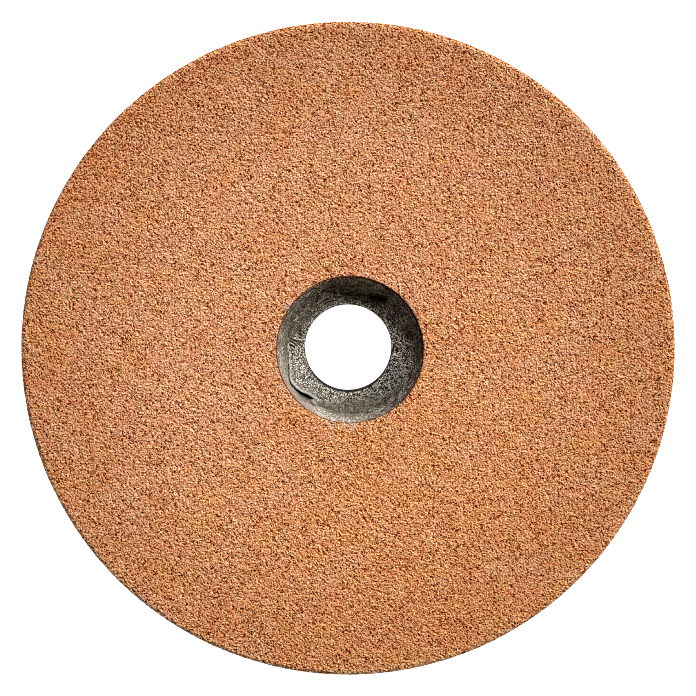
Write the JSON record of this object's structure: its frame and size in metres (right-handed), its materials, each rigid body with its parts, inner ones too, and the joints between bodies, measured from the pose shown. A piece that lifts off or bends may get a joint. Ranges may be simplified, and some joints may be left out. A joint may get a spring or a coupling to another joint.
{
  "type": "grinding wheel",
  "caption": "Flat straight bench-grinder wheel of bonded brown grain, with a dished grey cast bushing round its centre bore.",
  "frame": {"origin": "centre of the wheel, on the bore axis, midway between the two flat sides", "axes": "+Z along the bore axis, out of the side that the picture shows; the wheel lies flat on its other side; X and Y are in the plane of the wheel and alike"},
  "size_m": [0.15, 0.15, 0.02],
  "materials": {
    "abrasive": "coarse open grain, tan to reddish brown, matt",
    "bushing": "rough cast dark grey compound, matt"
  },
  "bodies": {
    "root": {"abrasive_wheel": "abrasive", "bushing": "bushing"}
  },
  "joints": []
}
